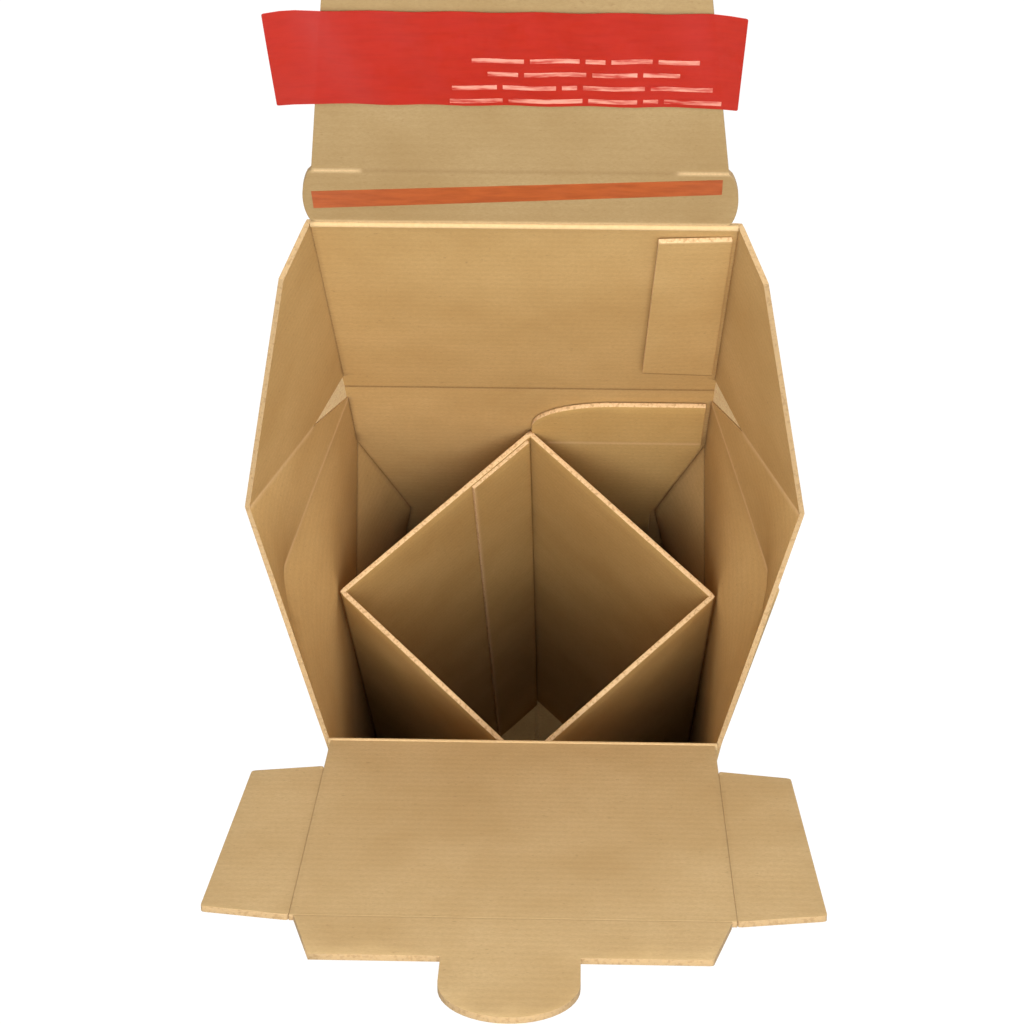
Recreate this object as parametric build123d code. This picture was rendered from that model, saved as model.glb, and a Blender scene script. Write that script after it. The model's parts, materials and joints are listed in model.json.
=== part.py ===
"""Corrugated mailer for one bottle, open: a folded carton with a rear hood, a front lid with
ears and a tuck, a self-adhesive closure flap, and a folded square sleeve for the bottle.

The origin is the centre of the underside. X is to the right, Y to the back and Z up.
"""

from build123d import *
from math import atan2, cos, degrees, radians, sin
import os

import numpy as np

# Carton, outside sizes
width = 112.0
depth = 112.0
height = 322.0
board = 1.6

# Rear hood: a panel that carries on above the back wall, with a folded web at each side
hood_height = 116.0
hood_lean = 5.0
web_kink_out = 21.0
web_kink_rise = 44.0
web_kink_front = 1.0
web_mid_out = 16.0
web_mid_back = 2.0
web_shoulder_out = 6.5
web_shoulder_back = 20.0
web_shoulder_drop = 3.0
slot_half = 9.0
slot_length = 27.0
slot_lean = 0.5

# Side walls: they bulge where the sleeve's corners reach them, and dent in at the back corners
dent_top = 43.0
dent_middle = 109.0
dent_bottom = 213.0
dent_width = 14.0
dent_side_back = 7.0
bulge_foot = 12.0

# Glued tab inside the hood, at its right side
tab_width = 22.0
tab_low = 10.0
tab_top_gap = 18.0
tab_board = 1.2
tab_lap = 0.2

# Front lid, its ears, its tuck and the tongue at the end
lid_rise = 51.8
lid_end_gap = 2.0
lid_side_gap = 1.8
ear_start = 19.0
ear_slope = 4.0
ear_width = 21.0
ear_taper = 2.5
tuck_length = 20.0
tuck_inset = 1.0
tuck_taper = 5.5
tongue_length = 29.0
tongue_width = 33.0

# Closure flap with its tear strip and its adhesive under a release liner
flap_lean = 10.0
flap_length = 92.0
flap_root_inset = 1.5
flap_neck_inset = 3.0
flap_end_inset = 10.0
band_length = 22.0
band_bulge = 3.2
strip_width = 6.2
strip_low_left = 6.2
strip_top_gap = 2.2
strip_end_gap = 1.5
strip_thickness = 0.2
liner_start = 48.5
liner_width = 32.5
liner_overhang = 9.0
liner_shift = -3.6
liner_thickness = 0.25
adhesive_width = 22.0
adhesive_inset = 5.0
adhesive_thickness = 0.2

# Sleeve: a square tube turned by an eighth of a turn, with a glued tab and a wing on the back wall
sleeve_press = 2.6
sleeve_drop = 30.0
sleeve_tab = 25.0
wing_lap = 0.4
wing_drop = 9.0
wing_clearance = 2.0
wing_round = 14.0
wing_foot = 118.0
foot_notch = 3.4

# Running gaps
crease_gap = 0.45
fold_gap = 0.4
rest_gap = 0.3

half_wide = (width - board) / 2
half_deep = (depth - board) / 2
lid_width = width - 2 * lid_side_gap
lid_length = depth - lid_end_gap
tab_high = hood_height - tab_top_gap
flap_root_half = width / 2 - flap_root_inset
flap_neck_half = width / 2 - flap_neck_inset
flap_end_half = width / 2 - flap_end_inset
sleeve_half_wide = width / 2 - board + sleeve_press
sleeve_half_deep = depth / 2 - board - rest_gap
sleeve_top = height - sleeve_drop


def mirrored(point):
    return (-point[0], point[1], point[2])


def folded_sheet(points, panels, thickness):
    """Thickens a folded sheet, given as flat panels between named points, by half each way."""
    triangles = [(panel[0], panel[i], panel[i + 1]) for panel in panels for i in range(1, len(panel) - 1)]
    normals = {name: [] for name in points}
    for triangle in triangles:
        a, b, c = (np.array(points[name]) for name in triangle)
        normal = np.cross(b - a, c - a)
        normal /= np.linalg.norm(normal)
        for name in triangle:
            normals[name].append(normal)
    offset = {}
    for name, found in normals.items():
        offset[name] = np.linalg.lstsq(np.array(found), np.full(len(found), thickness / 2), rcond=0.02)[0]
    outside = {name: tuple(np.array(points[name]) + offset[name]) for name in points}
    inside = {name: tuple(np.array(points[name]) - offset[name]) for name in points}
    edges = {(t[i], t[(i + 1) % 3]) for t in triangles for i in range(3)}
    corners = [[outside[name] for name in t] for t in triangles]
    corners += [[inside[name] for name in reversed(t)] for t in triangles]
    for start, end in sorted(edges):
        if (end, start) not in edges:
            corners.append([outside[end], outside[start], inside[start]])
            corners.append([outside[end], inside[start], inside[end]])
    faces = [Face(Wire.make_polygon(three, close=True)) for three in corners]
    return Solid(Shell(faces))


def carton_points():
    """The sheet's mid-surface: named points of the right side, then their mirror images."""
    sleeve_corner = sleeve_half_wide + rest_gap + board / 2
    shoulder_height = height + hood_height - web_shoulder_drop
    right = {
        "front_foot": (half_wide, -half_deep, board / 2),
        "front_rim": (half_wide, -half_deep, height - crease_gap),
        "back_foot": (half_wide, half_deep, board / 2),
        "dent_foot": (half_wide, half_deep, height - dent_bottom),
        "dent_wall": (half_wide - dent_width, half_deep, height - dent_middle),
        "dent_head": (half_wide, half_deep, height - dent_top),
        "slot_foot": (half_wide, half_deep, height - slot_half),
        "slot_head": (half_wide, half_deep - slot_lean, height + slot_half),
        "hood_corner": (half_wide, half_deep - hood_lean, height + hood_height),
        "bulge_foot": (sleeve_corner, 0, bulge_foot),
        "dent_side": (sleeve_corner, dent_side_back, height - dent_middle),
        "bulge_head": (sleeve_corner, 0, sleeve_top),
        "rim_middle": (half_wide + web_mid_out, web_mid_back, height),
        "kink": (half_wide + web_kink_out, -web_kink_front, height + web_kink_rise),
        "shoulder": (half_wide + web_shoulder_out, half_deep - web_shoulder_back, shoulder_height),
    }
    corner = np.array((half_wide, half_deep, height))
    along = np.array(right["kink"]) - corner
    right["slot_tip"] = tuple(corner + along * slot_length / np.linalg.norm(along))
    points = {"r_" + name: point for name, point in right.items()}
    points.update({"l_" + name: mirrored(point) for name, point in right.items()})
    return points


def side_panels(side):
    """Panels of one side wall and its web, seen from outside on the right-hand wall."""
    names = [
        ("front_foot", "bulge_foot", "dent_side", "bulge_head", "front_rim"),
        ("front_foot", "back_foot", "bulge_foot"),
        ("back_foot", "dent_foot", "bulge_foot"),
        ("bulge_foot", "dent_foot", "dent_side"),
        ("dent_foot", "dent_wall", "dent_side"),
        ("dent_side", "dent_wall", "dent_head"),
        ("dent_side", "dent_head", "bulge_head"),
        ("front_rim", "bulge_head", "rim_middle"),
        ("bulge_head", "dent_head", "rim_middle"),
        ("dent_head", "slot_foot", "rim_middle"),
        ("front_rim", "rim_middle", "kink"),
        ("rim_middle", "slot_foot", "slot_tip"),
        ("rim_middle", "slot_tip", "kink"),
        ("slot_tip", "slot_head", "shoulder"),
        ("slot_head", "hood_corner", "shoulder"),
        ("slot_tip", "shoulder", "kink"),
    ]
    panels = [tuple(side + name for name in panel) for panel in names]
    if side == "l_":
        panels = [tuple(reversed(panel)) for panel in panels]
    return panels


def back_panels():
    levels = ["back_foot", "dent_foot", "dent_wall", "dent_head", "slot_foot", "slot_head", "hood_corner"]
    panels = [("r_" + low, "l_" + low, "l_" + top, "r_" + top) for low, top in zip(levels, levels[1:])]
    return panels


def carton():
    """Walls, hood and webs as one folded sheet, with its glued tab and its bottom.

    The bottom's outer flaps meet edge to edge and are glued, so they are one plate.
    """
    front = ("l_front_foot", "r_front_foot", "r_front_rim", "l_front_rim")
    panels = [front] + back_panels() + side_panels("r_") + side_panels("l_")
    body = folded_sheet(carton_points(), panels, board)
    body += Pos(0, 0, board / 2) * Box(width, depth, board)
    inner_flap = Pos(0, 0, 1.5 * board) * Box(width / 2 - fold_gap, depth - board, board)
    for side in (-1, 1):
        body += Pos(side * (width / 4 + fold_gap / 2 - board / 2), 0, 0) * inner_flap
    return body + glued_tab()


def glued_tab():
    """The tab of the right-hand web, flat on the hood's inner face."""
    lean = degrees(atan2(hood_lean - slot_lean, hood_height - slot_half))
    tab_height = tab_high - tab_low
    tab = Box(tab_width, tab_board * board, tab_height, align=(Align.MAX, Align.MAX, Align.MIN))
    at_hood = Pos(half_wide - board / 2, half_deep - (0.5 - tab_lap) * board, height + tab_low)
    drop = hood_lean * tab_low / hood_height
    return Pos(0, -drop, 0) * at_hood * Rot(lean, 0, 0) * tab


def sleeve():
    """Square tube standing on its corner edges, its glued tab, and its wing on the back wall."""
    wide, deep = sleeve_half_wide, sleeve_half_deep - wing_lap * board
    outer = Polygon((wide, 0), (0, deep), (-wide, 0), (0, -deep), align=None)
    outer = fillet(outer.vertices(), board)
    tube_height = sleeve_top - 2 * board - rest_gap
    tube = extrude(outer - offset(outer, -board), tube_height)
    run = (wide**2 + deep**2) ** 0.5
    turn = degrees(atan2(deep, wide))
    tab = Pos(-wide, 0, 0) * Rot(0, 0, turn) * Pos(run - sleeve_tab / 2 - 2 * board, -1.5 * board, 0)
    lapped = Box(sleeve_tab, tab_board * board, tube_height, align=(Align.CENTER, Align.CENTER, Align.MIN))
    tube += tab * lapped
    notch = Box(2 * foot_notch, 4 * board, 2 * (bulge_foot + board))
    tube -= Pos(wide, 0, 0) * notch
    tube -= Pos(-wide, 0, 0) * notch
    tube = Pos(0, 0, 2 * board + rest_gap) * tube
    return tube + wing()


def wing():
    """The sleeve's end panel, glued flat to the back wall from the tube's rear corner to the right."""
    wing_top = height - wing_drop
    right_edge = half_wide - board / 2 - 2 * rest_gap
    tapered_edge = right_edge - dent_width
    with BuildSketch(Plane.XZ) as outline:
        with BuildLine():
            Polyline(
                (wing_round, wing_top),
                (right_edge, wing_top),
                (right_edge, height - dent_top + wing_clearance),
                (tapered_edge, height - dent_middle + wing_clearance),
                (tapered_edge, height - wing_foot),
                (0, height - wing_foot),
                (0, wing_top - wing_round),
            )
            RadiusArc((0, wing_top - wing_round), (wing_round, wing_top), wing_round)
        make_face()
    panel = extrude(outline.sketch, board)
    return Pos(0, sleeve_half_deep, 0) * panel


def lid_plane(out=0.0):
    """X along the crease, Y up the lid, Z out of its inner face, from a point that far along the lid."""
    rise = radians(lid_rise)
    up_lid = Vector(0, -cos(rise), sin(rise))
    inner = Vector(0, sin(rise), cos(rise))
    outer_edge = Vector(0, -depth / 2, height)
    return Plane(outer_edge + up_lid * out, x_dir=(-1, 0, 0), z_dir=inner)


def lid():
    """The lid's main panel, hinged along the outer edge of the front wall's rim."""
    half = lid_width / 2
    sheet = Polygon(
        (-half, crease_gap), (half, crease_gap),
        (half, lid_length - fold_gap), (-half, lid_length - fold_gap),
        align=None,
    )
    return lid_plane() * extrude(sheet, board)


def ear(side):
    """One ear beside the lid, a little narrower at its crease end."""
    root = lid_width / 2 + fold_gap
    tip = lid_width / 2 + ear_width
    outline = Polygon(
        (side * root, ear_start), (side * (tip - ear_taper / 2), ear_start + ear_slope),
        (side * (tip + ear_taper / 2), lid_length - ear_slope), (side * root, lid_length - fold_gap),
        align=None,
    )
    return lid_plane() * extrude(outline, board)


def tuck():
    """The tuck at the lid's end, with its rounded tongue."""
    root = lid_width / 2 - tuck_inset
    tip = root - tuck_taper
    flat = Polygon((-root, fold_gap), (root, fold_gap), (tip, tuck_length), (-tip, tuck_length), align=None)
    radius = tongue_width / 2
    straight = tongue_length - radius
    neck = Pos(0, tuck_length + straight / 2) * Rectangle(tongue_width, straight + 1)
    tongue = Pos(0, tuck_length + straight) * Circle(radius)
    return lid_plane(lid_length) * extrude(flat + neck + tongue, board)


def closure_plane():
    """X along the hood's top crease, Y up the flap, Z out of its inner face."""
    lean = radians(flap_lean)
    crease = Vector(0, half_deep - hood_lean - board / 2, height + hood_height + fold_gap)
    return Plane(crease, x_dir=(1, 0, 0), z_dir=(0, -cos(lean), sin(lean)))


def closure_flap():
    """Tear band with bulging ends next to the crease, then a panel that narrows to the free end."""
    root, neck, end = flap_root_half, flap_neck_half, flap_end_half
    with BuildSketch() as outline:
        with BuildLine():
            Polyline((-neck, band_length), (-end, flap_length), (end, flap_length), (neck, band_length))
            ThreePointArc((neck, band_length), (root + band_bulge, band_length / 2), (root, fold_gap))
            Line((root, fold_gap), (-root, fold_gap))
            ThreePointArc((-root, fold_gap), (-root - band_bulge, band_length / 2), (-neck, band_length))
        make_face()
    panel = extrude(outline.sketch, -board)
    return closure_plane() * panel


def tear_strip():
    """The tear tape on the band, laid a little askew."""
    length = 2 * (flap_neck_half - strip_end_gap)
    strip_low_right = band_length - strip_width - strip_top_gap
    askew = degrees(atan2(strip_low_right - strip_low_left, length))
    middle = (strip_low_left + strip_low_right + strip_width) / 2
    strip = Box(length, strip_width, strip_thickness, align=(Align.CENTER, Align.CENTER, Align.MIN))
    return closure_plane() * Pos(0, middle, 0) * Rot(0, 0, askew) * strip


def adhesive_strip():
    """The glue line under the liner, no longer than the flap is wide."""
    length = 2 * (flap_end_half - adhesive_inset)
    middle = liner_start + liner_width / 2
    glue = Box(length, adhesive_width, adhesive_thickness, align=(Align.CENTER, Align.CENTER, Align.MIN))
    return closure_plane() * Pos(0, middle, 0) * glue


def release_liner():
    """The peel-off liner over the glue, longer than the flap so that its ends stand free."""
    middle = liner_start + liner_width / 2
    liner_length = 2 * (flap_end_half + liner_overhang)
    liner = Box(liner_length, liner_width, liner_thickness, align=(Align.CENTER, Align.CENTER, Align.MIN))
    return closure_plane() * Pos(liner_shift, middle, adhesive_thickness) * liner


pieces = {
    "carton": carton(),
    "bottle_sleeve": sleeve(),
    "front_lid": lid(),
    "ear_left": ear(1),
    "ear_right": ear(-1),
    "tuck_flap": tuck(),
    "closure_flap": closure_flap(),
    "tear_strip": tear_strip(),
    "adhesive_strip": adhesive_strip(),
    "release_liner": release_liner(),
}

os.makedirs("parts", exist_ok=True)
for name, piece in pieces.items():
    export_step(piece.solid(), f"parts/{name}.step")
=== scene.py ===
import json
import math
import bmesh
import bpy
import numpy as np
from mathutils import Matrix, Vector


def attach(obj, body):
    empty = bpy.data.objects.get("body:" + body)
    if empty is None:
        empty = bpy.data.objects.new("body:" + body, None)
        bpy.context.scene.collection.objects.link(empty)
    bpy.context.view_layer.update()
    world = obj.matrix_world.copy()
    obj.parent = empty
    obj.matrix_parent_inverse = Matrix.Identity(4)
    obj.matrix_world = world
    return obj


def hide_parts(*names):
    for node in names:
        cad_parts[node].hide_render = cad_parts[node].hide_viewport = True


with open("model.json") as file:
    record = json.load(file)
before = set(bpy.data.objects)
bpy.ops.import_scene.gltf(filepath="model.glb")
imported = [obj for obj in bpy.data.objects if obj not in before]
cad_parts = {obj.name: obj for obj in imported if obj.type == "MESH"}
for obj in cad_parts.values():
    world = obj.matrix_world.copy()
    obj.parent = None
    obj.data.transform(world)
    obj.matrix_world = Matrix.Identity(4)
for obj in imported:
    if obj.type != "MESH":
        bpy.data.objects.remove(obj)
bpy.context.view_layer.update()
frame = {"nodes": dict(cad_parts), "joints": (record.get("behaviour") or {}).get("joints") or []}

mm = 0.001
joints = {joint["name"]: joint for joint in frame["joints"]}
print("frame loaded")


# colours, written as they should render

def srgb(red, green, blue):
    def linear(value):
        value /= 255
        return value / 12.92 if value <= 0.04045 else ((value + 0.055) / 1.055) ** 2.4
    return (linear(red), linear(green), linear(blue), 1.0)


boardLook = {
    "middle": srgb(199, 163, 112),      # plain kraft liner
    "light": srgb(214, 180, 130),
    "dark": srgb(182, 145, 95),
    "fleck": srgb(140, 104, 66),
    "crease": srgb(228, 196, 148),      # stretched paper along a fold, with a painted highlight along it
    "groove": srgb(128, 94, 58),        # painted shade inside a scored fold
    "cut": srgb(232, 199, 153),         # edge of the board
    "cutDark": srgb(176, 134, 88),
    "shadedFlapCut": srgb(180, 151, 110),     # the same edge on walls and flaps, darker: painted shade
    "shadedFlapCutDark": srgb(158, 126, 85),
    # inner ply colour pushed near white: a painted highlight, as the ply in the slots lies in shade
    "ply": srgb(255, 238, 192),
    "flutePitch": 3.1 * mm,
    "fluteShade": 0.06,
    "cloudScale": 28,
    "fibreScale": (950, 1500, 1500),    # fibres lie across the box
    "fibreShade": 0.45,
    "fleckScale": (600, 1100, 1100),
    "fleckShade": 0.3,
    "grainScale": 1300,
    "roughness": 0.86,
    "bump": (0.3, 0.1 * mm),            # strength, depth
}
edgeLook = {"plyScale": 1500, "toothScale": 1000, "plyShade": 0.5, "toothShade": 0.6, "bump": (0.5, 0.2 * mm)}


def nodesOf(name):
    material = bpy.data.materials.new(name)
    material.use_nodes = True
    tree = material.node_tree
    shader = tree.nodes["Principled BSDF"]
    return material, tree, shader


def addNoise(tree, vector, scale, detail=4.0, roughness=0.6):
    noise = tree.nodes.new("ShaderNodeTexNoise")
    noise.inputs["Scale"].default_value = scale
    noise.inputs["Detail"].default_value = detail
    noise.inputs["Roughness"].default_value = roughness
    tree.links.new(vector, noise.inputs["Vector"])
    return noise.outputs["Fac"]


def stretched(tree, vector, scale):
    mapping = tree.nodes.new("ShaderNodeMapping")
    mapping.inputs["Scale"].default_value = scale
    tree.links.new(vector, mapping.inputs["Vector"])
    return mapping.outputs["Vector"]


def remap(tree, value, low, high, toLow=0.0, toHigh=1.0):
    node = tree.nodes.new("ShaderNodeMapRange")
    node.inputs["From Min"].default_value = low
    node.inputs["From Max"].default_value = high
    node.inputs["To Min"].default_value = toLow
    node.inputs["To Max"].default_value = toHigh
    tree.links.new(value, node.inputs["Value"])
    return node.outputs["Result"]


def blendColour(tree, factor, first, second):
    node = tree.nodes.new("ShaderNodeMix")
    node.data_type = "RGBA"
    tree.links.new(factor, node.inputs["Factor"])
    for socket, value in ((node.inputs[6], first), (node.inputs[7], second)):
        if isinstance(value, tuple):
            socket.default_value = value
        else:
            tree.links.new(value, socket)
    return node.outputs[2]


def addBump(tree, shader, height, strength, depth):
    bump = tree.nodes.new("ShaderNodeBump")
    bump.inputs["Strength"].default_value = strength
    bump.inputs["Distance"].default_value = depth
    tree.links.new(height, bump.inputs["Height"])
    tree.links.new(bump.outputs["Normal"], shader.inputs["Normal"])


def addMath(tree, operation, first, second=None):
    # second is a number or another node's output
    node = tree.nodes.new("ShaderNodeMath")
    node.operation = operation
    tree.links.new(first, node.inputs[0])
    if isinstance(second, (int, float)):
        node.inputs[1].default_value = second
    elif second is not None:
        tree.links.new(second, node.inputs[1])
    return node.outputs[0]


def fluteWave(tree, vector, direction, pitch):
    # ridges of the fluted core that show through the liner, across the given direction
    dot = tree.nodes.new("ShaderNodeVectorMath")
    dot.operation = "DOT_PRODUCT"
    dot.inputs[1].default_value = direction
    tree.links.new(vector, dot.inputs[0])
    turn = addMath(tree, "MULTIPLY", dot.outputs["Value"], 2 * math.pi / pitch)
    return remap(tree, addMath(tree, "SINE", turn), -1, 1)


def tinted(colour, tint):
    return tuple(value * part for value, part in zip(colour, tint)) + (1.0,)


def boardMaterial(name, across, tint=(1, 1, 1), marks=(0.8, 0.75)):
    # across: the direction in which one flute follows the next; marks: how strong the painted fold highlights
    # and the painted groove shade show
    look = boardLook
    material, tree, shader = nodesOf(name)
    place = tree.nodes.new("ShaderNodeTexCoord").outputs["Object"]
    cloud = remap(tree, addNoise(tree, place, look["cloudScale"], 3), 0.3, 0.7)
    fibre = addNoise(tree, stretched(tree, place, look["fibreScale"]), 1.0, 4, 0.7)
    grain = addNoise(tree, place, look["grainScale"], 3, 0.7)
    fleck = remap(tree, addNoise(tree, stretched(tree, place, look["fleckScale"]), 1.0, 2, 0.5), 0.66, 0.76)
    wave = fluteWave(tree, place, across, look["flutePitch"])
    colour = blendColour(tree, cloud, tinted(look["middle"], tint), tinted(look["light"], tint))
    darker = remap(tree, fibre, 0.35, 0.7, 0, look["fibreShade"])
    colour = blendColour(tree, darker, colour, tinted(look["dark"], tint))
    colour = blendColour(tree, remap(tree, fleck, 0, 1, 0, look["fleckShade"]), colour, look["fleck"])
    colour = blendColour(tree, remap(tree, wave, 0, 1, 0, look["fluteShade"]), colour, look["fleck"])
    # lighter along marked folds: stretched paper with a painted highlight; darker along grooves: painted
    # shade
    for mark, amount in zip(("crease", "groove"), marks):
        line = tree.nodes.new("ShaderNodeAttribute")
        line.attribute_name = mark
        worn = remap(tree, grain, 0.35, 0.6, 0.7 * amount, amount)
        colour = blendColour(tree, addMath(tree, "MULTIPLY", line.outputs["Fac"], worn), colour, look[mark])
    tree.links.new(colour, shader.inputs["Base Color"])
    tree.links.new(remap(tree, grain, 0.3, 0.7, look["roughness"] - 0.08, 0.97), shader.inputs["Roughness"])
    shader.inputs["Specular IOR Level"].default_value = 0.25
    height = tree.nodes.new("ShaderNodeMath")
    height.operation = "MULTIPLY_ADD"
    height.inputs[1].default_value = 0.5
    tree.links.new(wave, height.inputs[0])
    tree.links.new(fibre, height.inputs[2])
    addBump(tree, shader, height.outputs[0], *look["bump"])
    return material


def cutEdgeMaterial(name, cut, cutDark):
    material, tree, shader = nodesOf(name)
    place = tree.nodes.new("ShaderNodeTexCoord").outputs["Object"]
    ply = addNoise(tree, place, edgeLook["plyScale"], 3, 0.7)
    tooth = addNoise(tree, place, edgeLook["toothScale"], 1)
    colour = blendColour(tree, remap(tree, ply, 0.35, 0.7, 0, edgeLook["plyShade"]), cut, boardLook["middle"])
    colour = blendColour(tree, remap(tree, tooth, 0.52, 0.66, 0, edgeLook["toothShade"]), colour, cutDark)
    tree.links.new(colour, shader.inputs["Base Color"])
    tree.links.new(remap(tree, ply, 0.3, 0.7, 0.85, 0.98), shader.inputs["Roughness"])
    addBump(tree, shader, tooth, *edgeLook["bump"])
    return material


# folded sheets

sheet = {
    "thickness": 1.6 * mm, "coarse": 9 * mm, "fine": 0.9 * mm,
    "longEdge": 1.35, "growth": 0.8,    # an edge is split past this share; how fast the mesh coarsens
    "markReach": 1.3,                   # half width of a crease line, in fine edges
    "softEdge": 0.25 * mm, "softAngle": 82,
}
farAway = 9.0


def distanceTo(places, lines):
    # how far each place is from the nearest of the lines
    nearest = np.full(len(places), farAway)
    for start, end in lines:
        start, end = np.array(start, float), np.array(end, float)
        along = end - start
        share = np.clip(((places - start) @ along) / (along @ along), 0, 1)
        gap = np.linalg.norm(places - (start + share[:, None] * along), axis=1)
        nearest = np.minimum(nearest, gap)
    return nearest


def refine(mesh, lines, coarse, fine):
    # splits long edges, and edges near the lines until they are short
    for _ in range(11):
        edges = list(mesh.edges)
        middles = np.array([(e.verts[0].co + e.verts[1].co) / 2 for e in edges])
        lengths = np.array([e.calc_length() for e in edges])
        wanted = np.clip(fine + (distanceTo(middles, lines) - fine) * sheet["growth"], fine, coarse)
        split = [edges[i] for i in np.nonzero(lengths > wanted * sheet["longEdge"])[0]]
        if not split:
            break
        bmesh.ops.subdivide_edges(mesh, edges=split, cuts=1)
        bmesh.ops.triangulate(mesh, faces=mesh.faces[:])


def markLines(mesh, name, lines, reach):
    layer = mesh.verts.layers.float.new(name)
    if not lines:
        return
    places = np.array([v.co for v in mesh.verts])
    near = np.clip(1 - distanceTo(places, lines) / reach, 0, 1)
    for vert, value in zip(mesh.verts, near):
        vert[layer] = value


def relax(mesh, held, rounds):
    # lets the board between the held lines take a smooth curve
    places = np.array([v.co for v in mesh.verts])
    fixed = distanceTo(places, held) < 0.05 * mm
    mesh.verts.index_update()
    border = np.array([v.is_boundary for v in mesh.verts])
    free = ~(fixed | border)
    pairs = np.array([(e.verts[0].index, e.verts[1].index) for e in mesh.edges])
    count = np.zeros(len(places))
    np.add.at(count, pairs[:, 0], 1)
    np.add.at(count, pairs[:, 1], 1)
    for _ in range(rounds):
        total = np.zeros_like(places)
        np.add.at(total, pairs[:, 0], places[pairs[:, 1]])
        np.add.at(total, pairs[:, 1], places[pairs[:, 0]])
        places[free] += 0.5 * (total[free] / count[free, None] - places[free])
    for vert, place in zip(mesh.verts, places):
        vert.co = place


def linkPiece(name, data, body):
    for polygon in data.polygons:
        polygon.use_smooth = True
    piece = bpy.data.objects.new(name, data)
    bpy.context.scene.collection.objects.link(piece)
    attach(piece, body)
    return piece


def sheetPiece(name, body, nodes, points, panels, materials, creases=(), grooves=(), held=(),
               thickness=sheet["thickness"], coarse=sheet["coarse"], smoothRounds=0, wave=None,
               film=False, splitAngle=30, finish="outer_board"):
    # points: name to place; panels: the points round each flat part; held: lines that relaxing leaves alone
    fine = sheet["fine"]

    def lines(names):
        return [(points[a], points[b]) for a, b in names]
    mesh = bmesh.new()
    verts = {key: mesh.verts.new(place) for key, place in points.items()}
    for panel in panels:
        mesh.faces.new([verts[key] for key in panel])
    bmesh.ops.delete(mesh, geom=[v for v in mesh.verts if not v.link_faces], context="VERTS")
    bmesh.ops.triangulate(mesh, faces=mesh.faces[:])
    marks = lines(creases) + lines(grooves)
    refine(mesh, marks, coarse, fine)
    markLines(mesh, "crease", lines(creases), sheet["markReach"] * fine)
    markLines(mesh, "groove", lines(grooves), sheet["markReach"] * fine)
    if smoothRounds:
        relax(mesh, marks + lines(held), smoothRounds)
    if wave:
        for vert in mesh.verts:
            vert.co += wave(vert.co)
    data = bpy.data.meshes.new(name)
    mesh.to_mesh(data)
    mesh.free()
    piece = linkPiece(name, data, body)
    for material in materials:
        data.materials.append(material)
    solid = piece.modifiers.new("boardThickness", "SOLIDIFY")
    solid.thickness = thickness
    solid.offset = 0
    solid.use_even_offset = False
    solid.material_offset_rim = 0 if film else 1
    if film or smoothRounds:
        piece.modifiers.new("sharpEdge", "EDGE_SPLIT").split_angle = math.radians(splitAngle)
    else:
        edges = piece.modifiers.new("softEdge", "BEVEL")
        edges.width = sheet["softEdge"]
        edges.segments = 2
        edges.limit_method = "ANGLE"
        edges.angle_limit = math.radians(sheet["softAngle"])
    if nodes:
        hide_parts(*nodes)
    return piece


wallBoard = boardMaterial("wallBoard", (0, 0, 1), (1.0, 1.0, 0.88))
cutEdge = cutEdgeMaterial("boardCutEdge", boardLook["cut"], boardLook["cutDark"])
# a darker copy of the cut edge for walls and flaps: painted shade
shadedFlapEdge = cutEdgeMaterial("shadedFlapCutEdge", boardLook["shadedFlapCut"], boardLook["shadedFlapCutDark"])
plyHighlight = cutEdgeMaterial("plyHighlight", boardLook["ply"], boardLook["cut"])
print("board materials made")


# carton: walls, rear hood and its folded webs

carton = {
    "width": 112, "depth": 112, "height": 322, "board": 1.6,
    "foot": 1, "rimGap": 0.45,          # where the walls start, and how far they stay under the rim's fold
    "hoodHeight": 116, "hoodLean": 5, "slotLean": 0.1,
    "kinkOut": 21, "kinkRise": 44, "kinkFront": 1, "middleOut": 17.5, "middleFront": 8,
    "shoulderOut": 6.5, "shoulderBack": 20, "shoulderDrop": 3,
    "slotHalf": 9, "slotLength": 27,
    "dentTop": 43, "dentMiddle": 102, "dentBottom": 213, "dentWidth": 14, "dentBack": 7,
    "bulgeHalf": 58.1, "bulgeTop": 292, "bulgeFoot": 12,
    "secondCrease": 37,
    "thickness": 1.4, "smoothRounds": 60, "sharpAngle": 50,
}


def cartonPoints():
    c = carton
    wide, deep, top = (c["width"] - c["board"]) / 2, (c["depth"] - c["board"]) / 2, c["height"]
    hoodTop = top + c["hoodHeight"]
    kink = Vector((wide + c["kinkOut"], -c["kinkFront"], top + c["kinkRise"]))
    corner = Vector((wide, deep, top))
    right = {
        "frontFoot": (wide, -deep, c["foot"]), "frontRim": (wide, -deep, top - c["rimGap"]),
        "backFoot": (wide, deep, c["foot"]), "dentFoot": (wide, deep, top - c["dentBottom"]),
        "dentWall": (wide - c["dentWidth"], deep, top - c["dentMiddle"]),
        "dentHead": (wide, deep, top - c["dentTop"]),
        "slotFoot": (wide, deep, top - c["slotHalf"]),
        "slotHead": (wide, deep - c["slotLean"] * c["hoodLean"], top + c["slotHalf"]),
        "hoodCorner": (wide, deep - c["hoodLean"], hoodTop),
        "bulgeFoot": (c["bulgeHalf"], 0, c["bulgeFoot"]),
        "dentSide": (c["bulgeHalf"], c["dentBack"], top - c["dentMiddle"]),
        "bulgeHead": (c["bulgeHalf"], 0, c["bulgeTop"]),
        "rimMiddle": (wide + c["middleOut"], -c["middleFront"], top),
        "kink": kink,
        "shoulder": (wide + c["shoulderOut"], deep - c["shoulderBack"], hoodTop - c["shoulderDrop"]),
        "slotTip": corner + (kink - corner).normalized() * c["slotLength"],
        "rearCrease": corner,
        "secondCrease": (wide, deep, top - c["secondCrease"]),
    }
    points = {}
    for name, place in right.items():
        x, y, z = place
        points["right" + name] = Vector((x, y, z)) * mm
        points["left" + name] = Vector((-x, y, z)) * mm
    return points


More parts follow.
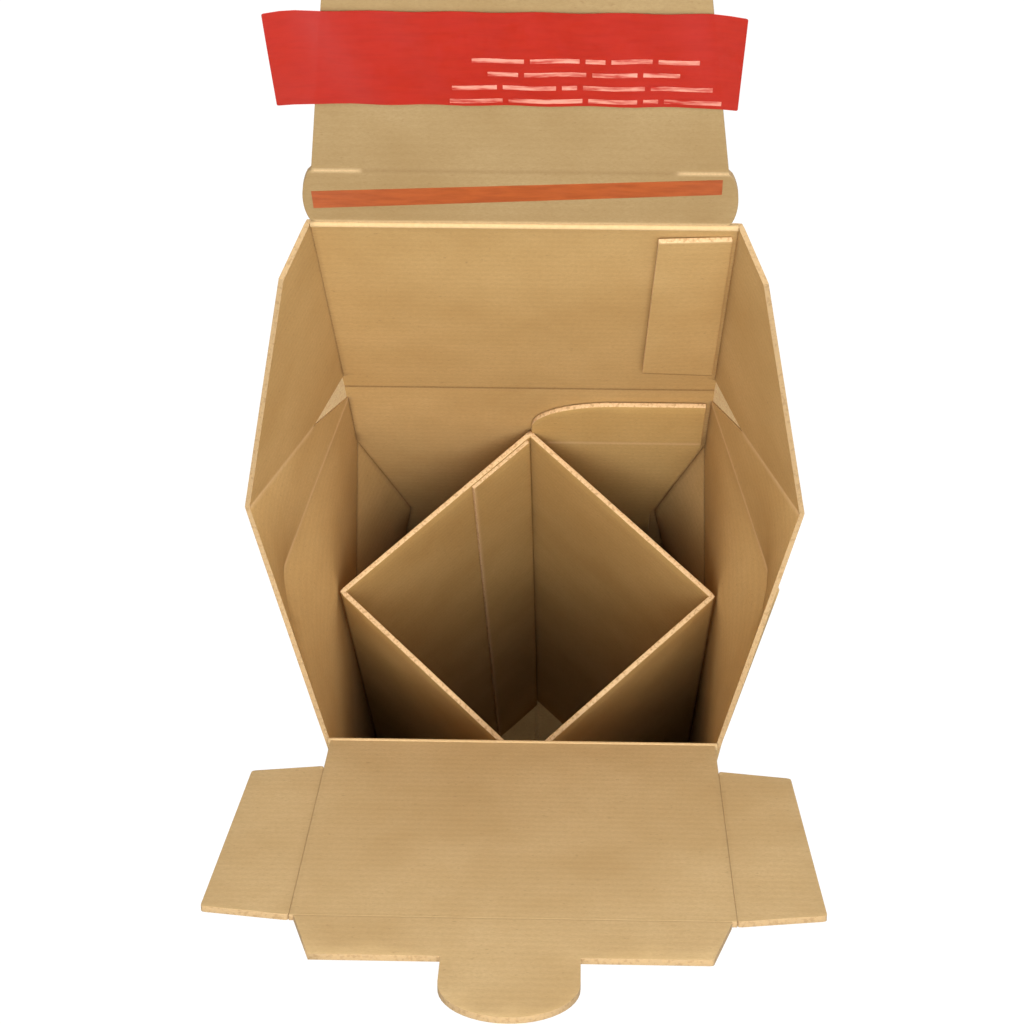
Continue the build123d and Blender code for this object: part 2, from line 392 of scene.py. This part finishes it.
sidePanels = [
    ("frontFoot", "bulgeFoot", "dentSide", "bulgeHead", "frontRim"),
    ("frontFoot", "backFoot", "bulgeFoot"), ("backFoot", "dentFoot", "bulgeFoot"),
    ("bulgeFoot", "dentFoot", "dentSide"), ("dentFoot", "dentWall", "dentSide"),
    ("dentSide", "dentWall", "dentHead"), ("dentSide", "dentHead", "bulgeHead"),
    ("frontRim", "bulgeHead", "rimMiddle"), ("bulgeHead", "dentHead", "rimMiddle"),
    ("dentHead", "secondCrease", "rimMiddle"), ("secondCrease", "slotFoot", "rimMiddle"),
    ("frontRim", "rimMiddle", "kink"), ("rimMiddle", "slotFoot", "slotTip"),
    ("rimMiddle", "slotTip", "kink"), ("slotTip", "slotHead", "shoulder"),
    ("slotHead", "hoodCorner", "shoulder"), ("slotTip", "shoulder", "kink"),
]


def buildCarton():
    points = cartonPoints()
    panels = [("leftfrontFoot", "rightfrontFoot", "rightfrontRim", "leftfrontRim")]
    levels = ["backFoot", "dentFoot", "dentWall", "dentHead", "secondCrease", "slotFoot", "rearCrease",
              "slotHead", "hoodCorner"]
    for low, high in zip(levels, levels[1:]):
        panels.append(("right" + low, "left" + low, "left" + high, "right" + high))
    # creases get a painted highlight along the fold lines, grooves painted shade along the dents, hood
    # corners and rear fold
    creases, grooves = [], [("leftrearCrease", "rightrearCrease")]
    for side in ("left", "right"):
        for panel in sidePanels:
            named = [side + name for name in panel]
            panels.append(named[::-1] if side == "left" else named)
        creases += [(side + a, side + b) for a, b in (
            ("slotTip", "kink"), ("slotFoot", "rimMiddle"))]
        grooves += [(side + a, side + b) for a, b in (
            ("dentHead", "dentWall"), ("dentHead", "dentSide"), ("slotHead", "hoodCorner"),
            ("dentWall", "dentFoot"), ("secondCrease", "dentHead"), ("slotFoot", "secondCrease"))]
    held = [(side + a, side + b) for side in ("left", "right") for a, b in (
        ("frontFoot", "frontRim"), ("backFoot", "dentFoot"), ("bulgeFoot", "dentSide"),
        ("dentSide", "bulgeHead"), ("dentSide", "dentFoot"), ("rimMiddle", "frontRim"))]
    return sheetPiece("cartonSheet", "box", ["carton"], points, panels, [wallBoard, shadedFlapEdge],
                      creases, grooves, held, smoothRounds=carton["smoothRounds"],
                      thickness=carton["thickness"] * mm, splitAngle=carton["sharpAngle"])


cartonSheet = buildCarton()
print("carton made", len(cartonSheet.data.polygons))


# carton: bottom flaps and the glued tab inside the hood

bottom = {"outerLevel": 0.8, "innerLevel": 2.4, "seam": 0.5, "inset": 1.6}


def buildBottom():
    halfX, halfY = carton["width"] / 2, carton["depth"] / 2
    points, panels = {}, []

    def flap(name, lowX, lowY, highX, highY, level):
        corners = ((lowX, lowY), (highX, lowY), (highX, highY), (lowX, highY))
        for i, (x, y) in enumerate(corners):
            points[name + str(i)] = Vector((x, y, level)) * mm
        panels.append([name + str(i) for i in range(4)])

    inX, inY = halfX - bottom["inset"], halfY - bottom["inset"]
    flap("front", -halfX, -halfY, halfX, -bottom["seam"], bottom["outerLevel"])
    flap("back", -halfX, bottom["seam"], halfX, halfY, bottom["outerLevel"])
    flap("leftIn", -inX, -inY, -bottom["seam"], inY, bottom["innerLevel"])
    flap("rightIn", bottom["seam"], -inY, inX, inY, bottom["innerLevel"])
    return sheetPiece("bottomFlaps", "box", [], points, panels, [wallBoard, cutEdge])


tab = {
    "left": 33, "right": 53.4, "low": 16.5, "high": 110.5, "skew": 4.5, "topInset": 1.5, "topStep": 0.5,
    "freeLift": 0.5, "lowLift": 1.6, "foldLift": 0.4,   # how far each corner stands off the hood
    "offHood": 0.95,                                    # middle of the tab in front of the hood, in boards
    "thickness": 1.3,
}


def hoodDepth(rise):
    # how far back the hood's middle surface is, that high above the rear crease
    c = carton
    share = (rise - c["slotHalf"]) / (c["hoodHeight"] - c["slotHalf"])
    return (c["depth"] - c["board"]) / 2 - c["hoodLean"] * (c["slotLean"] + (1 - c["slotLean"]) * share)


def buildTab():
    points = {}
    for name, x, rise, lift in (
            ("lowFree", tab["left"], tab["low"] + tab["skew"], tab["lowLift"]),
            ("lowFold", tab["right"], tab["low"], tab["foldLift"]),
            ("highFold", tab["right"], tab["high"] + tab["topStep"], 0.0),
            ("highFree", tab["left"] + tab["topInset"], tab["high"], tab["freeLift"])):
        y = hoodDepth(rise) - carton["board"] * tab["offHood"] - lift
        points[name] = Vector((x, y, carton["height"] + rise)) * mm
    # painted highlight along the top edge, painted shade along the lifted bottom edge
    return sheetPiece("hoodTab", "box", [], points, [("lowFree", "lowFold", "highFold", "highFree")],
                      [wallBoard, cutEdge], [("highFree", "highFold")], [("lowFree", "lowFold")],
                      thickness=tab["thickness"] * mm)


buildBottom()
buildTab()
print("bottom and tab made")


# sleeve: a square tube on its corners, its inner tab and its wing

sleeve = {
    "halfWide": 55.8, "halfDeep": 52.3, "low": 3.7, "high": 292,
    "tabStart": 2.2, "tabLength": 25, "tabSkew": 2, "tabLift": 1.55, "tabThickness": 1.1,
    "wingDepth": 53.3, "wingHigh": 313, "wingBend": 281, "wingTaper": 222, "wingLow": 204,
    "wingLeft": 0.5, "wingRight": 53.1, "wingNarrow": 39.2, "wingRound": 17, "wingStretch": 1.5,
    "wingScore": 284, "scoreLeft": 6, "scoreRight": 52.1, "wingThickness": 1.5,
}
sleeveBoard = boardMaterial("sleeveBoard", (0, 0, 1), (1.0, 1.0, 0.8))


def buildSleeve():
    s = sleeve
    plan = {"rear": (0, s["halfDeep"]), "left": (-s["halfWide"], 0),
            "front": (0, -s["halfDeep"]), "right": (s["halfWide"], 0)}
    points = {}
    for name, (x, y) in plan.items():
        points[name + "Low"] = Vector((x, y, s["low"])) * mm
        points[name + "High"] = Vector((x, y, s["high"])) * mm
    order = ["rear", "left", "front", "right", "rear"]
    panels = [(a + "Low", b + "Low", b + "High", a + "High") for a, b in zip(order, order[1:])]
    folds = [(name + "Low", name + "High") for name in plan]
    # painted shade along the tube's four corners
    sheetPiece("sleeveTube", "box", ["bottle_sleeve"], points, panels, [sleeveBoard, cutEdge],
               grooves=folds, finish="sleeve_board")


def buildSleeveTab():
    s = sleeve
    start, end = Vector((0, s["halfDeep"], 0)), Vector((-s["halfWide"], 0, 0))
    along = (end - start).normalized()
    inward = Vector((-along.y, along.x, 0))
    points = {}
    for name, run, rise in (
            ("rearLow", s["tabStart"], s["low"]), ("endLow", s["tabLength"] - s["tabSkew"], s["low"]),
            ("endHigh", s["tabLength"], s["high"]), ("rearHigh", s["tabStart"], s["high"])):
        place = start + along * run + inward * s["tabLift"]
        points[name] = Vector((place.x, place.y, rise)) * mm
    # painted highlight along the tab's free edge
    sheetPiece("sleeveTab", "box", [], points, [("rearLow", "endLow", "endHigh", "rearHigh")],
               [sleeveBoard, cutEdge], creases=[("endLow", "endHigh")],
               thickness=s["tabThickness"] * mm, finish="sleeve_board")


def buildWing():
    s = sleeve
    outline = [(s["wingNarrow"], s["wingLow"]), (s["wingNarrow"], s["wingTaper"]),
               (s["wingRight"], s["wingBend"]), (s["wingRight"], s["wingHigh"])]
    steps = 12
    for step in range(steps + 1):
        turn = math.radians(90 + 90 * step / steps)
        outline.append((s["wingRound"] * s["wingStretch"] * (1 + math.cos(turn)) + s["wingLeft"],
                        s["wingHigh"] - s["wingRound"] * (1 - math.sin(turn))))
    outline.append((s["wingLeft"], s["wingLow"]))
    points = {f"edge{i}": Vector((x, s["wingDepth"], z)) * mm for i, (x, z) in enumerate(outline)}
    for name in ("scoreLeft", "scoreRight"):
        points[name] = Vector((s[name], s["wingDepth"], s["wingScore"])) * mm
    panel = [f"edge{i}" for i in range(len(outline))]
    # painted highlight along the wing's score line
    sheetPiece("sleeveWing", "box", [], points, [panel], [sleeveBoard, cutEdge],
               creases=[("scoreLeft", "scoreRight")], thickness=s["wingThickness"] * mm,
               finish="sleeve_board")


buildSleeve()
buildSleeveTab()
buildWing()
print("sleeve made")


# front lid, ears and tuck

lid = {
    "halfWidth": 54.4, "root": 0.5, "board": 1.6,
    "earStart": 19, "earSlope": 4, "earTip": 75.2, "earTaper": 1.25,
    "tuckRoot": 53.2, "tuckTip": 47.7, "tuckLength": 20, "tuckRound": 0.8,
    "tongueHalf": 16.5, "tongueLength": 29, "tongueSteps": 24, "earRound": 1.2,
    "creaseInset": 0.3,                 # a scored line lies this far inside the edge it runs along
}


class Flat:
    # a flap's own plane: x along its crease, up from the crease, out of the inner face
    def __init__(self, origin, up, turn=1):
        self.origin, self.up = Vector(origin), Vector(up).normalized()
        self.inner = self.up.cross(Vector((turn, 0, 0)))

    def at(self, x, up, out=0.0):
        return self.origin + (Vector((x, 0, 0)) + self.up * up + self.inner * out) * mm


lidFlat = Flat(joints["lid_hinge"]["pos_m"], joints["right_ear_hinge"]["axis"])
lidLength = (Vector(joints["tuck_hinge"]["pos_m"]) - lidFlat.origin).dot(lidFlat.up) / mm
# tinted lighter than the other board: painted light on the lid, ears and tuck
litLidBoard = boardMaterial("litLidBoard", tuple(lidFlat.up), (1.03, 1.1, 1.14), (0.5, 0.12))


def rounded(outline, radius, steps=4):
    # the outline with every sharp corner rounded a little
    result = []
    for i, corner in enumerate(outline):
        here = Vector(corner)
        before, after = Vector(outline[i - 1]) - here, Vector(outline[(i + 1) % len(outline)]) - here
        reach = min(radius, before.length / 3, after.length / 3)
        start, end = here + before.normalized() * reach, here + after.normalized() * reach
        for step in range(steps + 1):
            t = step / steps
            result.append(tuple(start * (1 - t) ** 2 + here * 2 * t * (1 - t) + end * t ** 2))
    return result


def flapPiece(name, body, node, flat, outline, material, out, creases=(), grooves=(), bow=None, **more):
    # outline and lines in the flap's own plane; bow: how far the sheet stands off it at a place
    points = {f"edge{i}": flat.at(x, up, out) for i, (x, up) in enumerate(outline)}
    marked = {}
    for kind, lines in (("crease", creases), ("groove", grooves)):
        marked[kind] = []
        for i, (start, end) in enumerate(lines):
            for j, (x, up) in enumerate((start, end)):
                points[f"{kind}{i}{j}"] = flat.at(x, up, out)
            marked[kind].append((f"{kind}{i}0", f"{kind}{i}1"))

    def warp(place):
        local = (place - flat.origin) / mm
        return flat.inner * bow(local.x, local.dot(flat.up)) * mm

    return sheetPiece(name, body, [node], points, [[f"edge{i}" for i in range(len(outline))]],
                      [material, shadedFlapEdge], marked["crease"], marked["groove"],
                      wave=warp if bow else None, **more)


def buildLid():
    f, half, inset, middle = lid, lid["halfWidth"], lid["creaseInset"], lid["board"] / 2

    def across(halfLine, up):
        return ((-halfLine, up), (halfLine, up))

    def beside(x):
        return ((x, f["earStart"]), (x, lidLength))

    outline = [*across(half, f["root"]), (half, lidLength), (-half, lidLength)]
    # painted highlight along the root fold; grooves on the lid, ears and tuck: painted shade along the scores
    flapPiece("lidPanel", "lid", "front_lid", lidFlat, outline, litLidBoard, middle,
              creases=[across(half, f["root"])],
              grooves=[beside(inset - half), beside(half - inset), across(half, lidLength - inset)])
    for side, body, node in ((-1, "left_ear", "ear_left"), (1, "right_ear", "ear_right")):
        ear = [(side * half, f["earStart"]),
               (side * (f["earTip"] - f["earTaper"]), f["earStart"] + f["earSlope"]),
               (side * (f["earTip"] + f["earTaper"]), lidLength - f["earSlope"]), (side * half, lidLength)]
        if side < 0:
            ear.reverse()
        flapPiece(node + "Sheet", body, node, lidFlat, rounded(ear, f["earRound"]), litLidBoard, middle,
                  grooves=[beside(side * (half + inset))])
    buildTuck(middle, across)


def buildTuck(middle, across):
    f, tongue = lid, lid["tongueHalf"]
    start = lidLength + f["tuckLength"]
    corners = [*across(f["tuckRoot"], lidLength), (f["tuckTip"], start), (tongue, start)]
    outline = rounded(corners, f["tuckRound"])[5:-5]    # only the two corners of the right edge
    outline.append((tongue, start))
    roundFrom = start + f["tongueLength"] - tongue
    for step in range(f["tongueSteps"] + 1):
        turn = math.radians(180 * step / f["tongueSteps"])
        outline.append((tongue * math.cos(turn), roundFrom + tongue * math.sin(turn)))
    outline += [(-tongue, start), (-f["tuckTip"], start), (-f["tuckRoot"], lidLength)]
    flapPiece("tuckSheet", "tuck", "tuck_flap", lidFlat, outline, litLidBoard, middle,
              grooves=[across(f["tuckRoot"], lidLength + f["creaseInset"])])


buildLid()
print("lid made")


# closure flap with its tear band, tapes and glue

closure = {
    "lean": 10, "root": 0.95, "length": 92, "board": 1.6,
    "rootHalf": 53, "neckHalf": 51.8, "endHalf": 43.6, "shift": -0.9,
    "bandLength": 22, "bandBulge": 2.4, "bandRound": 0.6, "bandSteps": 15,
    "liftHighlightLeft": 11, "liftHighlightRight": 13,    # painted highlights on the lifted lips at the two ends of the band's line
}
lean = math.radians(closure["lean"])
closureFlat = Flat(joints["closure_hinge"]["pos_m"], (0, math.sin(lean), math.cos(lean)), -1)
# tinted darker than the other board: painted shade on the closure flap
shadedClosureBoard = boardMaterial("shadedClosureBoard", tuple(closureFlat.up), (0.7, 0.735, 0.735), (0.95, 0.25))


def buildClosure():
    c, neck = closure, closure["bandLength"]
    outline = [(-c["endHalf"], c["length"]), (-c["neckHalf"], neck)]
    for step in range(1, c["bandSteps"]):
        share = step / c["bandSteps"]
        bulge = c["bandBulge"] * math.sin(math.pi * share) ** c["bandRound"]
        half = c["neckHalf"] + (c["rootHalf"] - c["neckHalf"]) * share + bulge
        outline.append((-half, neck * (1 - share) + c["root"] * share))
    outline.append((-c["rootHalf"], c["root"]))
    outline += [(-x, up) for x, up in reversed(outline)]
    outline = [(x + c["shift"], up) for x, up in outline]
    left, right = (-c["neckHalf"] + c["liftHighlightLeft"], neck), (c["neckHalf"] - c["liftHighlightRight"], neck)
    # painted highlights along the root fold and on the lips at the band's ends; painted shade along the
    # band's line between them
    creases = [((-c["rootHalf"], c["root"]), (c["rootHalf"], c["root"])),
               ((-c["neckHalf"], neck), left), (right, (c["neckHalf"], neck))]
    grooves = [(left, right)]
    flapPiece("closureSheet", "closure", "closure_flap", closureFlat, outline, shadedClosureBoard, -c["board"] / 2,
              creases, grooves)


buildClosure()
print("closure made")


# tear tape, release liner with its printed bars, and the glue line

tape = {
    "colours": (srgb(180, 89, 42), srgb(164, 78, 36)), "roughness": 0.42,
    "corners": [(-53.2, 6.8), (49.6, 13.9), (49.5, 19.7), (-53.3, 13.6)], "out": 0.08, "thickness": 0.12,
}
liner = {
    "colours": (srgb(188, 35, 24), srgb(181, 31, 21)), "roughness": 0.38, "cover": 0.93,
    "low": 48.5, "high": 81.0, "half": 55, "shift": -3.6, "out": 0.32, "thickness": 0.12,
    "stretch": (0.4, 0.4, 0.6, 0.3),    # how far its corners are pulled out of square
    "cornerRound": 0.6, "meshSize": 3.5,
    "lift": 0.25, "ripple": 0.18, "waves": (0.33, 0.12), "curlFrom": 46, "curl": 0.012,
}
bars = {
    "colours": (srgb(238, 160, 140), liner["colours"][0]), "roughness": 0.5,
    # each row: where it starts, then its words' lengths
    "rows": ((-11.6, 13.6, 13, 6, 11, 11), (-8, 8.6, 16, 12, 10),
             (-16.5, 12, 14, 5, 16, 16), (-17.2, 14, 19, 13, 5, 15)),
    "drop": 17.2, "rowStep": 4.8, "high": 1.5, "gap": 1.4, "out": 0.12, "thickness": 0.03,
}
glueLine = {"colours": (srgb(222, 206, 170), srgb(222, 206, 170)), "roughness": 0.3}
filmLook = {"streakScale": (120, 600, 600), "scuffScale": 300, "bump": (0.3, 0.1 * mm)}


def filmMaterial(name, first, second, roughness, cover=1.0):
    material, tree, shader = nodesOf(name)
    place = tree.nodes.new("ShaderNodeTexCoord").outputs["Object"]
    streak = addNoise(tree, stretched(tree, place, filmLook["streakScale"]), 1.0, 3)
    scuff = addNoise(tree, place, filmLook["scuffScale"])
    colour = blendColour(tree, remap(tree, streak, 0.4, 0.65), first, second)
    tree.links.new(colour, shader.inputs["Base Color"])
    tree.links.new(remap(tree, scuff, 0.3, 0.7, roughness - 0.1, roughness + 0.1), shader.inputs["Roughness"])
    shader.inputs["Alpha"].default_value = cover
    addBump(tree, shader, streak, *filmLook["bump"])
    return material


def rippleAt(x, up):
    # how far the liner stands off the flap: small waves, and ends that curl up
    along, across = liner["waves"]
    past = max(0.0, abs(x - liner["shift"]) - liner["curlFrom"])
    return liner["lift"] + liner["ripple"] * math.sin(x * along + up * across) + liner["curl"] * past ** 2


def buildTape():
    film = filmMaterial("tearTape", *tape["colours"], tape["roughness"])
    flapPiece("tearTapeFilm", "closure", "tear_strip", closureFlat, tape["corners"], film, tape["out"],
              thickness=tape["thickness"] * mm, film=True, finish="tear_tape")


def buildLiner():
    low, high = liner["low"], liner["high"]
    left, right = liner["shift"] - liner["half"], liner["shift"] + liner["half"]
    pullLow, pullRight, pullLeft, pullHigh = liner["stretch"]
    outline = [(left, low), (right, low - pullLow),
               (right + pullRight, high), (left - pullLeft, high + pullHigh)]
    film = filmMaterial("linerFilm", *liner["colours"], liner["roughness"], liner["cover"])
    flapPiece("linerSheet", "closure", "release_liner", closureFlat, rounded(outline, liner["cornerRound"]),
              film, liner["out"], bow=rippleAt, thickness=liner["thickness"] * mm,
              coarse=liner["meshSize"] * mm, film=True, finish="liner_film")


def buildBars():
    ink = filmMaterial("linerPrint", *bars["colours"], bars["roughness"])

    def wave(place):
        up = (place - closureFlat.origin).dot(closureFlat.up) / mm
        return closureFlat.inner * rippleAt(place.x / mm, up) * mm

    for i, (x, *lengths) in enumerate(bars["rows"]):
        low = liner["high"] - bars["drop"] - bars["rowStep"] * i
        high = low + bars["high"]
        points, panels = {}, []
        for length in lengths:
            end = x + length - bars["gap"]
            for j, (wordX, up) in enumerate(((x, low), (end, low), (end, high), (x, high))):
                points[f"{x}at{j}"] = closureFlat.at(wordX, up, liner["out"] + bars["out"])
            panels.append([f"{x}at{j}" for j in range(4)])
            x += length
        sheetPiece(f"linerPrint{i}", "closure", [], points, panels, [ink, ink],
                   thickness=bars["thickness"] * mm, coarse=liner["meshSize"] * mm, wave=wave,
                   film=True, finish="liner_film")


def paintGlue():
    materials = frame["nodes"]["adhesive_strip"].data.materials
    materials.clear()
    materials.append(filmMaterial("glueLine", *glueLine["colours"], glueLine["roughness"]))


buildTape()
buildLiner()
buildBars()
paintGlue()
print("tapes made")


# rounded folds where a flap leaves its wall

folds = {
    "rimRadius": 1.0, "rimHalf": 55.0, "hoodRadius": 0.8, "hoodHalf": 54.6,
    "wearAndHighlight": 0.9,                        # how strongly the stretched paper and its painted highlight show
    "sides": 12, "rings": 40, "plyThickness": 0.5,
}


def foldBead(name, middle, halfLength, radius):
    mesh = bmesh.new()
    rings, sides = [], folds["sides"]
    for i in range(folds["rings"] + 1):
        x = halfLength * (2 * i / folds["rings"] - 1)
        turns = [2 * math.pi * k / sides for k in range(sides)]
        rings.append([mesh.verts.new((x, middle.y + radius * math.cos(turn),
                                      middle.z + radius * math.sin(turn))) for turn in turns])
    for a, b in zip(rings, rings[1:]):
        for k in range(sides):
            mesh.faces.new((a[k], a[(k + 1) % sides], b[(k + 1) % sides], b[k]))
    mesh.faces.new(rings[0])
    mesh.faces.new(rings[-1][::-1])
    bmesh.ops.recalc_face_normals(mesh, faces=mesh.faces[:])
    # the whole bead takes the light fold colour: a painted highlight along the fold, with its wear
    crease = mesh.verts.layers.float.new("crease")
    for vert in mesh.verts:
        vert[crease] = folds["wearAndHighlight"]
    data = bpy.data.meshes.new(name)
    mesh.to_mesh(data)
    mesh.free()
    data.materials.append(wallBoard)
    linkPiece(name, data, "box")


foldBead("rimFold", lidFlat.at(0, 0, folds["rimRadius"]), folds["rimHalf"] * mm, folds["rimRadius"] * mm)
foldBead("hoodFold", closureFlat.origin, folds["hoodHalf"] * mm, folds["hoodRadius"] * mm)


def buildSlotPlyHighlight():
    # pale inner ply left across the slot beside each rear corner, painted near white: a painted highlight
    # where it lies in shade
    points = cartonPoints()
    panels = [("rightslotFoot", "rightslotHead", "rightslotTip"),
              ("leftslotHead", "leftslotFoot", "leftslotTip")]
    sheetPiece("slotPlyHighlight", "box", [], points, panels, [plyHighlight, plyHighlight],
               thickness=folds["plyThickness"] * mm, film=True)


buildSlotPlyHighlight()
print("folds made")


# floor, light and camera

studio = {
    "floorReach": 6.0, "floorWhite": 0.86, "floorGlow": 1.07,
    "glowShare": 0.85,                  # of what the camera sees of the floor, the rest keeps the shadow
    "ambient": 0.24, "lampSize": 0.9,
    "lamps": {                          # place in metres, watts
        "highLamp": ((0.06, -0.45, 1.55), 11.0), "frontLamp": ((0.0, -0.95, 1.5), 14.0),
        "rearLamp": ((0.0, 0.9, 1.4), 7.0), "rightLamp": ((0.95, -0.15, 1.2), 3.4),
        "leftLamp": ((-0.95, -0.15, 1.2), 2.2),
    },
}


def buildFloor():
    data = bpy.data.meshes.new("floor")
    reach = studio["floorReach"]
    corners = [(-reach, -reach, 0), (reach, -reach, 0), (reach, reach, 0), (-reach, reach, 0)]
    data.from_pydata(corners, [], [(0, 1, 2, 3)])
    floor = bpy.data.objects.new("floor", data)
    bpy.context.scene.collection.objects.link(floor)
    material, tree, shader = nodesOf("floorPaper")
    white = studio["floorWhite"]
    shader.inputs["Base Color"].default_value = (white, white, white, 1)
    shader.inputs["Roughness"].default_value = 0.95
    glow = tree.nodes.new("ShaderNodeEmission")
    glow.inputs["Strength"].default_value = studio["floorGlow"]
    paths = tree.nodes.new("ShaderNodeLightPath")
    watched = addMath(tree, "MAXIMUM", paths.outputs["Is Camera Ray"], paths.outputs["Is Glossy Ray"])
    mixed = tree.nodes.new("ShaderNodeMixShader")
    tree.links.new(addMath(tree, "MULTIPLY", watched, studio["glowShare"]), mixed.inputs["Fac"])
    tree.links.new(shader.outputs[0], mixed.inputs[1])
    tree.links.new(glow.outputs[0], mixed.inputs[2])
    tree.links.new(mixed.outputs[0], tree.nodes["Material Output"].inputs["Surface"])
    data.materials.append(material)


def areaLight(name, place, target, size, power):
    data = bpy.data.lights.new(name, "AREA")
    data.size, data.energy = size, power
    lamp = bpy.data.objects.new(name, data)
    lamp.location = place
    lamp.rotation_euler = (Vector(target) - Vector(place)).to_track_quat("-Z", "Y").to_euler()
    bpy.context.scene.collection.objects.link(lamp)


def buildStudio():
    scene = bpy.context.scene
    scene.view_settings.view_transform = "Standard"
    world = bpy.data.worlds.new("studioAir")
    scene.world = world
    world.use_nodes = True
    air = world.node_tree.nodes["Background"]
    air.inputs["Color"].default_value = (1, 1, 1, 1)
    air.inputs["Strength"].default_value = studio["ambient"]
    centre = (0, 0, carton["height"] * mm)
    for name, (place, power) in studio["lamps"].items():
        areaLight(name, place, centre, studio["lampSize"], power)


camera = {
    "place": (12.9, -249.0, 1026.3),    # millimetres, as the box
    "elevation": 69.41, "yaw": -3.74, "roll": -2.78, "lens": 90.35, "sensor": 36,
}


def buildCamera():
    data = bpy.data.cameras.new("camera")
    data.lens, data.sensor_width = camera["lens"], camera["sensor"]
    data.clip_start, data.clip_end = 0.05, 30
    eye = bpy.data.objects.new("camera", data)
    bpy.context.scene.collection.objects.link(eye)
    down, yaw, roll = (math.radians(camera[key]) for key in ("elevation", "yaw", "roll"))
    forward = Vector((math.sin(yaw) * math.cos(down), math.cos(yaw) * math.cos(down), -math.sin(down)))
    level = Vector((math.cos(yaw), -math.sin(yaw), 0))
    above = level.cross(forward)
    right = level * math.cos(roll) + above * math.sin(roll)
    up = right.cross(forward)
    turn = Matrix((right, up, -forward)).transposed().to_4x4()
    eye.matrix_world = Matrix.Translation(Vector(camera["place"]) * mm) @ turn
    bpy.context.scene.camera = eye


buildFloor()
buildStudio()
buildCamera()
print("studio made")
